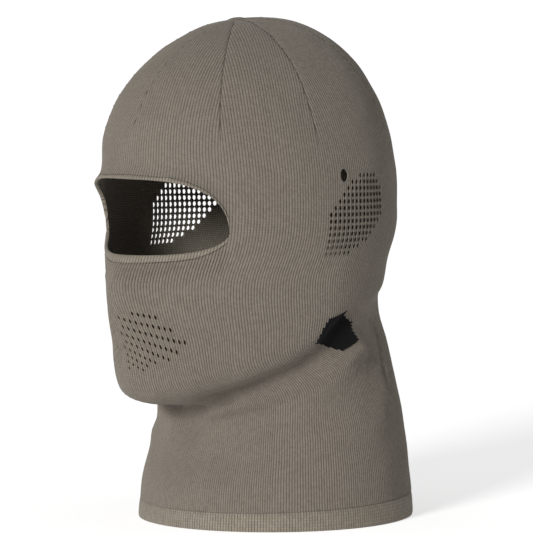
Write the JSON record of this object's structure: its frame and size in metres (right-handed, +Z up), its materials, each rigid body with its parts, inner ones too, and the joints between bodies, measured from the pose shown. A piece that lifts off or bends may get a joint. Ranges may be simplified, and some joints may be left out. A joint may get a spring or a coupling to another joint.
{
  "type": "balaclava",
  "caption": "Fine-knit ski balaclava with a wide eye opening, pull-down vented mask, vented ears with ports for eyewear arms, and a long neck tube.",
  "frame": {"origin": "middle of the surface that the neck hem stands on, under the middle of the bounding box", "axes": "+Z up through the crown, -Y out of the face, +X towards the wearer's left"},
  "size_m": [0.1692, 0.2284, 0.3132],
  "materials": {
    "rib_knit": "heathered taupe fine single-jersey knit, matt",
    "turned_hem": "the same yarn turned double at a hem, matt",
    "eyelet_knit": "the same yarn knitted open with rows of small eyelets, matt",
    "black_knit": "black yarn knitted in, matt",
    "woven_label": "white woven satin tape, slight sheen"
  },
  "bodies": {
    "hood": {"crown_gore_front_left": "rib_knit", "crown_gore_front_right": "rib_knit", "crown_gore_temple_left": "rib_knit", "crown_gore_temple_right": "rib_knit", "crown_gore_rear_left": "rib_knit", "crown_gore_rear_right": "rib_knit", "crown_gore_back_left": "rib_knit", "crown_gore_back_right": "rib_knit", "crown_closure": "rib_knit", "forehead_panel": "rib_knit", "upper_eye_hem": "turned_hem", "knitted_mark": "black_knit", "left_side_panel": "rib_knit", "left_ear_vent": "eyelet_knit", "left_cheek_panel": "rib_knit", "right_side_panel": "rib_knit", "right_ear_vent": "eyelet_knit", "right_cheek_panel": "rib_knit", "back_panel": "rib_knit", "under_chin_panel": "rib_knit", "neck_tube": "rib_knit", "neck_hem": "turned_hem"},
    "mask": {"mask_panel": "rib_knit", "mouth_vent": "eyelet_knit", "chin_cup": "rib_knit", "lower_eye_hem": "turned_hem"},
    "care_label": {"care_label": "woven_label"}
  },
  "joints": [
    {"name": "mask_pull_down", "type": "slide", "parent": "hood", "child": "mask", "axis": [0, -0.1736, -0.9848], "range_m": [0, 0.058]},
    {"name": "care_label_flap", "type": "hinge", "parent": "hood", "child": "care_label", "pos_m": [0, 0.10059, 0.075], "axis": [-1, 0, 0], "range_deg": [0, 100]}
  ]
}
